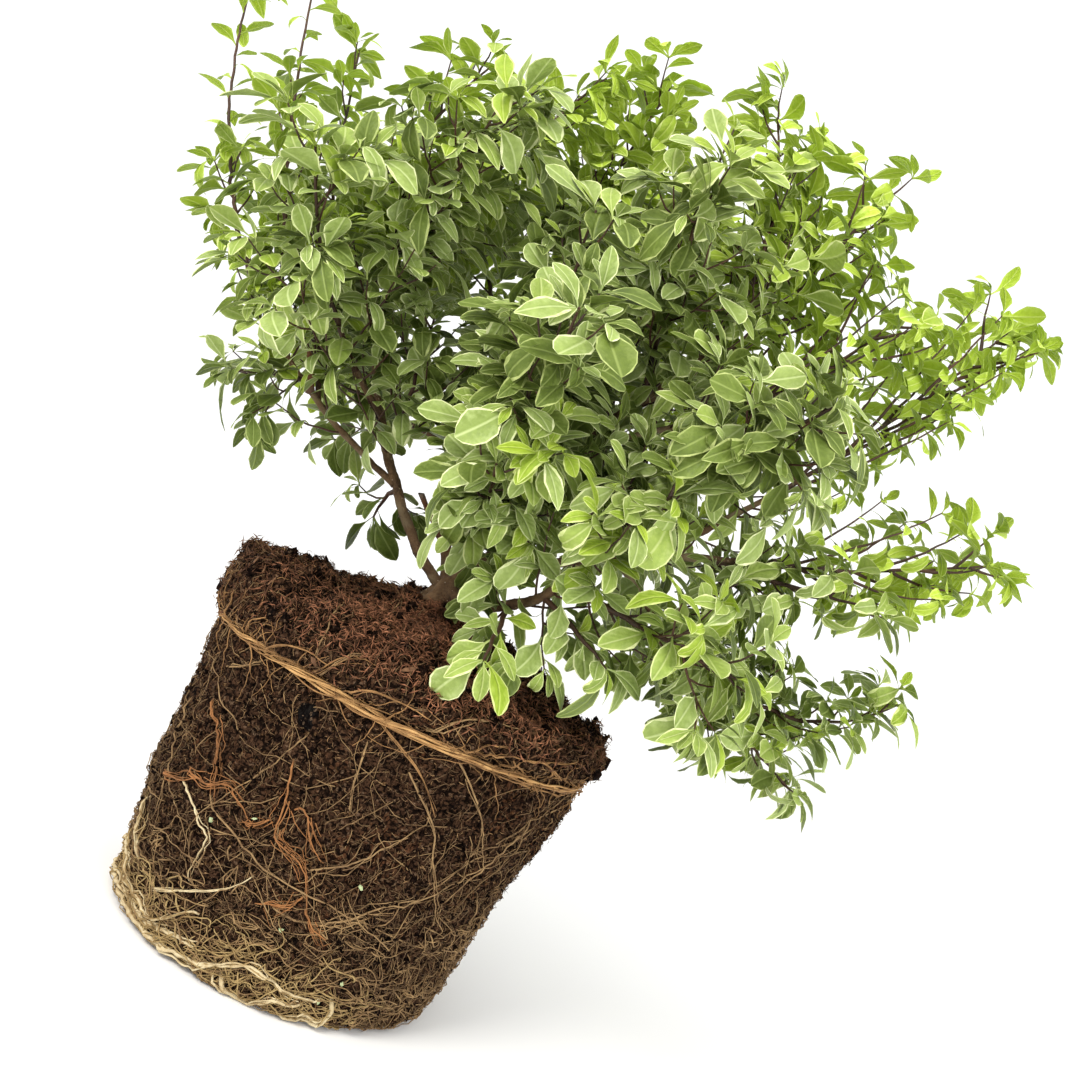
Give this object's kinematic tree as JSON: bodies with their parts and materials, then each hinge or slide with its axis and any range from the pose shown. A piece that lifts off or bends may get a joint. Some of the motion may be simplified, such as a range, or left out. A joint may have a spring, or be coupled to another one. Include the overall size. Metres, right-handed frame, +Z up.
{
  "type": "shrub on bare root ball",
  "caption": "Bushy small-leaved variegated evergreen shrub with a fan of thin stems, out of its pot on a bare pot-shaped root ball with a flat underside.",
  "frame": {"origin": "on the root ball's flat underside, below the middle of its collar", "axes": "+Z up, +X to the right in the picture, +Y to the back"},
  "size_m": [0.4059, 0.3005, 0.4071],
  "materials": {
    "peat_root_ball": "matt dark peat bound by fine roots",
    "tan_root": "matt, fibrous",
    "pale_root": "matt",
    "bark": "rough grey-brown bark",
    "dead_wood": "rough, torn",
    "leaf_grey_green": "satin, cream edged",
    "leaf_green": "satin, cream edged",
    "leaf_fresh": "satin"
  },
  "bodies": {
    "root": {"bough_back_left_low": "bark", "bough_back_right": "bark", "bough_back_upper_left": "bark", "bough_far_left": "bark", "bough_front_low_right": "bark", "bough_front_right": "bark", "bough_left_front": "bark", "bough_right_foot": "bark", "bough_right_spire": "bark", "bough_top_centre": "bark", "bough_top_far_right": "bark", "bough_top_right": "bark", "bough_upper_right": "bark", "dead_stub_snapped": "dead_wood", "dead_stub_torn": "dead_wood", "foliage_back_centre": "leaf_green", "foliage_back_left_low": "leaf_grey_green", "foliage_back_right": "leaf_fresh", "foliage_back_right_low": "leaf_green", "foliage_back_top": "leaf_fresh", "foliage_back_upper_left": "leaf_green", "foliage_far_left": "leaf_green", "foliage_front_foot": "leaf_grey_green", "foliage_front_heart": "leaf_grey_green", "foliage_front_low": "leaf_green", "foliage_front_low_right": "leaf_green", "foliage_front_mid": "leaf_green", "foliage_front_right": "leaf_green", "foliage_front_rim": "leaf_grey_green", "foliage_front_spire": "leaf_green", "foliage_front_top": "leaf_fresh", "foliage_front_upper_left": "leaf_green", "foliage_left_foot": "leaf_grey_green", "foliage_left_front": "leaf_grey_green", "foliage_left_heart": "leaf_green", "foliage_left_inner": "leaf_green", "foliage_left_low": "leaf_grey_green", "foliage_left_spire": "leaf_green", "foliage_right_droop": "leaf_green", "foliage_right_foot": "leaf_green", "foliage_right_low": "leaf_green", "foliage_right_mid": "leaf_fresh", "foliage_right_spire": "leaf_fresh", "foliage_top_centre": "leaf_fresh", "foliage_top_far_right": "leaf_fresh", "foliage_top_left": "leaf_fresh", "foliage_top_right": "leaf_fresh", "foliage_upper_left": "leaf_green", "foliage_upper_right": "leaf_fresh", "foot_root": "pale_root", "root_ball": "peat_root_ball", "shoulder_root_band": "tan_root", "stem_back": "bark", "stem_back_left": "bark", "stem_far_right": "bark", "stem_left": "bark", "stem_low_front": "bark", "stem_right": "bark", "stool": "bark"}
  },
  "joints": []
}
